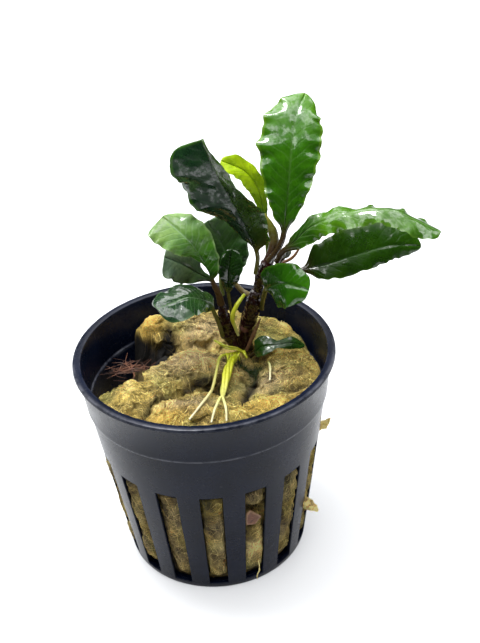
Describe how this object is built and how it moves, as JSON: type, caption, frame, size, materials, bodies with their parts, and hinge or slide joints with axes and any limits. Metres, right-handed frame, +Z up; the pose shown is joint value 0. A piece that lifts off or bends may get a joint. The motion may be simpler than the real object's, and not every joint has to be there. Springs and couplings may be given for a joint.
{
  "type": "potted aquarium plant",
  "caption": "Small aquarium plant with wavy glossy leaves, dark stems and trailing roots, growing in mineral wool in a slotted black net pot.",
  "frame": {"origin": "middle of the pot's flat base, which it rests on", "axes": "+Z up; +X to the right and +Y away, seen from the side with the roots in front"},
  "size_m": [0.0745, 0.055, 0.0969],
  "materials": {
    "leaf_top": "wet glossy leaf",
    "leaf_upper_left": "wet glossy leaf",
    "young_leaf": "wet glossy leaf",
    "leaf_right_upper": "wet glossy leaf",
    "leaf_right_lower": "wet glossy leaf",
    "leaf_round_front": "wet glossy leaf",
    "leaf_left_pale": "wet glossy leaf",
    "leaf_left_back": "wet glossy leaf",
    "leaf_left_low": "wet glossy leaf",
    "leaf_left_upright": "wet glossy leaf",
    "leaf_back_left": "wet glossy leaf",
    "leaf_base_right": "wet glossy leaf",
    "leaf_small_behind": "wet glossy leaf",
    "main_stem": "wet stem",
    "upper_stem": "wet stem",
    "side_stem": "wet stem",
    "new_shoot": "wet stem",
    "side_spear": "wet stem",
    "dead_stalk": "wet stem",
    "dry_sheath": "wet stem",
    "root_crown": "wet root",
    "stem_root": "wet root",
    "root_left": "wet root",
    "root_bundle": "wet root",
    "root_fork_left": "wet root",
    "root_fork_right": "wet root",
    "root_right": "wet root",
    "net_pot": "black moulded plastic, satin",
    "rock_wool": "wet ochre mineral fibre",
    "wool_tuft_high": "loose mineral fibre",
    "wool_tuft_low": "loose mineral fibre",
    "dead_root_tuft": "dry brown roots",
    "bark_chip": "rough bark"
  },
  "bodies": {
    "root": {"leaf_top": "leaf_top", "leaf_upper_left": "leaf_upper_left", "young_leaf": "young_leaf", "leaf_right_upper": "leaf_right_upper", "leaf_right_lower": "leaf_right_lower", "leaf_round_front": "leaf_round_front", "leaf_left_pale": "leaf_left_pale", "leaf_left_back": "leaf_left_back", "leaf_left_low": "leaf_left_low", "leaf_left_upright": "leaf_left_upright", "leaf_back_left": "leaf_back_left", "leaf_base_right": "leaf_base_right", "leaf_small_behind": "leaf_small_behind", "main_stem": "main_stem", "upper_stem": "upper_stem", "side_stem": "side_stem", "new_shoot": "new_shoot", "side_spear": "side_spear", "dead_stalk": "dead_stalk", "dry_sheath": "dry_sheath", "root_crown": "root_crown", "stem_root": "stem_root", "root_left": "root_left", "root_bundle": "root_bundle", "root_fork_left": "root_fork_left", "root_fork_right": "root_fork_right", "root_right": "root_right", "net_pot": "net_pot", "rock_wool": "rock_wool", "wool_tuft_high": "wool_tuft_high", "wool_tuft_low": "wool_tuft_low", "dead_root_tuft": "dead_root_tuft", "bark_chip": "bark_chip"}
  },
  "joints": []
}
